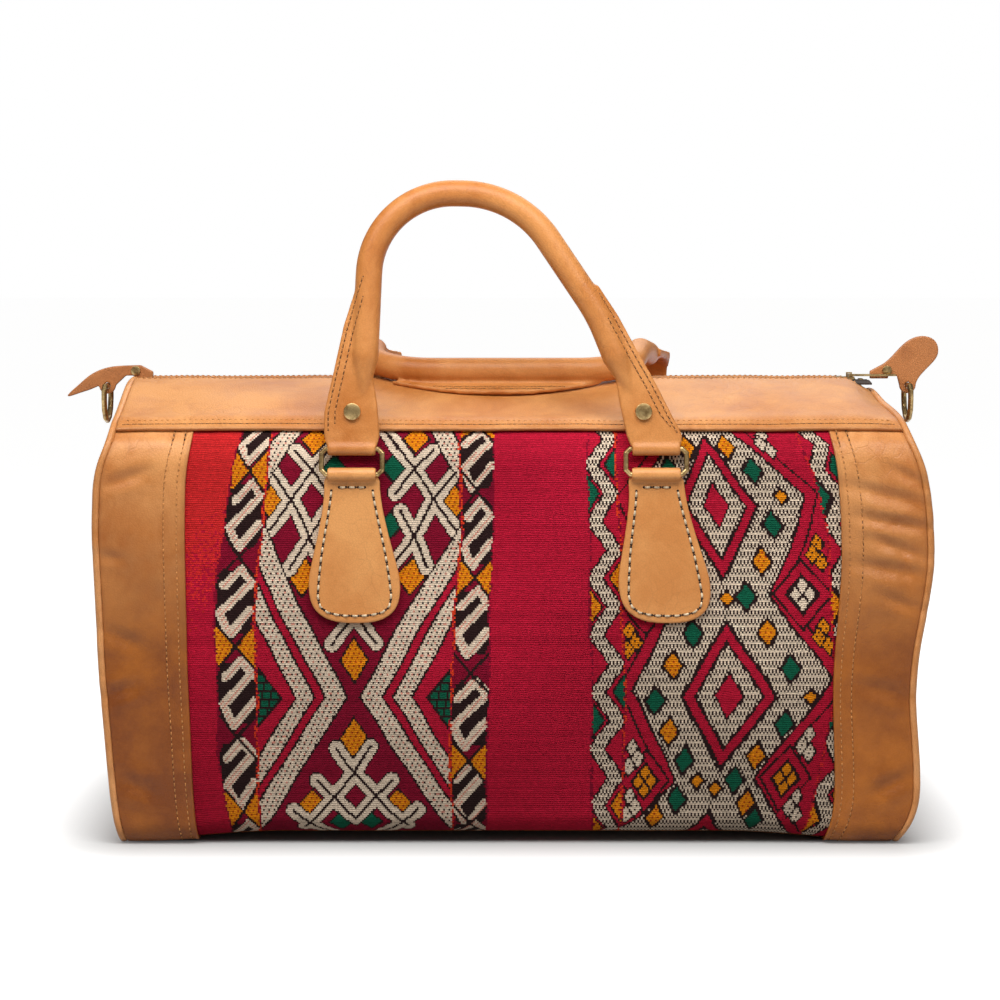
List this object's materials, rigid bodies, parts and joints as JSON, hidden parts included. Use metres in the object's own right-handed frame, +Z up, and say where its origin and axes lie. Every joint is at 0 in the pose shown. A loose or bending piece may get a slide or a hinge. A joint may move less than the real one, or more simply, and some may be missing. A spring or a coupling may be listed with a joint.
{
  "type": "travel bag",
  "caption": "Soft travel bag with woven wool sides, leather strips and roof, a zip, two rolled handles on rings and a strap ring at each end.",
  "frame": {"origin": "centre of the base panel, on the ground", "axes": "+Z up, the front woven panel faces -Y, +X to the right seen from the front"},
  "size_m": [0.5542, 0.224, 0.3958],
  "materials": {
    "kilim": "flat woven wool with a geometric pattern",
    "leather": "vegetable tanned, satin, light tan",
    "leather_edge": "folded welt, paler on its ridge",
    "dark_leather": "darker tan, burnished",
    "lining": "plain cotton",
    "board": "matt",
    "zip_tape": "woven tape",
    "brass": "antique, satin"
  },
  "bodies": {
    "root": {"front_kilim_panel": "kilim", "rear_kilim_panel": "kilim", "front_left_band": "leather", "front_right_band": "leather", "rear_left_band": "leather", "rear_right_band": "leather", "base_panel": "leather", "top_band_front": "leather", "top_band_rear": "leather", "end_panel_left": "leather", "end_panel_right": "leather", "end_piping_left": "leather_edge", "end_piping_right": "leather_edge", "lining": "lining", "base_board": "board", "zip_tape_front": "zip_tape", "zip_tape_rear": "zip_tape", "zip_teeth_front": "brass", "zip_teeth_rear": "brass", "zip_stops": "brass", "front_chape_left": "leather", "front_chape_right": "leather", "rear_chape_left": "leather", "rear_chape_right": "leather", "end_tab_left": "dark_leather", "end_tab_right": "dark_leather", "tab_rivets": "brass"},
    "front_ring_left": {"front_ring_left": "brass"},
    "front_ring_right": {"front_ring_right": "brass"},
    "front_handle": {"handle_front": "leather", "front_rivets": "brass"},
    "rear_ring_left": {"rear_ring_left": "brass"},
    "rear_ring_right": {"rear_ring_right": "brass"},
    "rear_handle": {"handle_rear": "leather", "rear_rivets": "brass"},
    "strap_ring_left": {"strap_ring_left": "brass"},
    "strap_ring_right": {"strap_ring_right": "brass"},
    "zip_slider": {"zip_slider": "brass"},
    "zip_pull": {"zip_pull": "brass"}
  },
  "joints": [
    {"name": "front_ring_left_swing", "type": "hinge", "parent": "root", "child": "front_ring_left", "pos_m": [-0.0956, -0.108, 0.221], "axis": [1, 0, 0], "range_deg": [0, 90]},
    {"name": "front_ring_right_swing", "type": "hinge", "parent": "root", "child": "front_ring_right", "pos_m": [0.085, -0.108, 0.221], "axis": [1, 0, 0], "range_deg": [0, 90]},
    {"name": "front_handle_swing", "type": "hinge", "parent": "front_ring_left", "child": "front_handle", "pos_m": [-0.0956, -0.106, 0.23587], "axis": [1, 0, 0], "range_deg": [0, 85]},
    {"name": "rear_ring_left_swing", "type": "hinge", "parent": "root", "child": "rear_ring_left", "pos_m": [-0.09, 0.108, 0.221], "axis": [-1, 0, 0], "range_deg": [0, 90]},
    {"name": "rear_ring_right_swing", "type": "hinge", "parent": "root", "child": "rear_ring_right", "pos_m": [0.09, 0.108, 0.221], "axis": [-1, 0, 0], "range_deg": [0, 90]},
    {"name": "rear_handle_swing", "type": "hinge", "parent": "rear_ring_left", "child": "rear_handle", "pos_m": [-0.09, 0.106, 0.23587], "axis": [-1, 0, 0], "range_deg": [0, 85]},
    {"name": "strap_ring_left_swing", "type": "hinge", "parent": "root", "child": "strap_ring_left", "pos_m": [-0.257, 0, 0.2675], "axis": [0, 1, 0], "range_deg": [0, 50]},
    {"name": "strap_ring_right_swing", "type": "hinge", "parent": "root", "child": "strap_ring_right", "pos_m": [0.252, 0.0058, 0.2675], "axis": [0, -1, 0], "range_deg": [0, 115]},
    {"name": "zip_slide", "type": "slide", "parent": "root", "child": "zip_slider", "axis": [-1, 0, 0], "range_m": [0, 0.408]},
    {"name": "zip_pull_swing", "type": "hinge", "parent": "zip_slider", "child": "zip_pull", "pos_m": [0.214, 0, 0.27418], "axis": [0, -1, 0], "range_deg": [0, 175]}
  ],
  "couplings": [
    {"joint": "front_ring_right_swing", "follows": "front_ring_left_swing", "ratio": 1},
    {"joint": "rear_ring_right_swing", "follows": "rear_ring_left_swing", "ratio": 1}
  ]
}
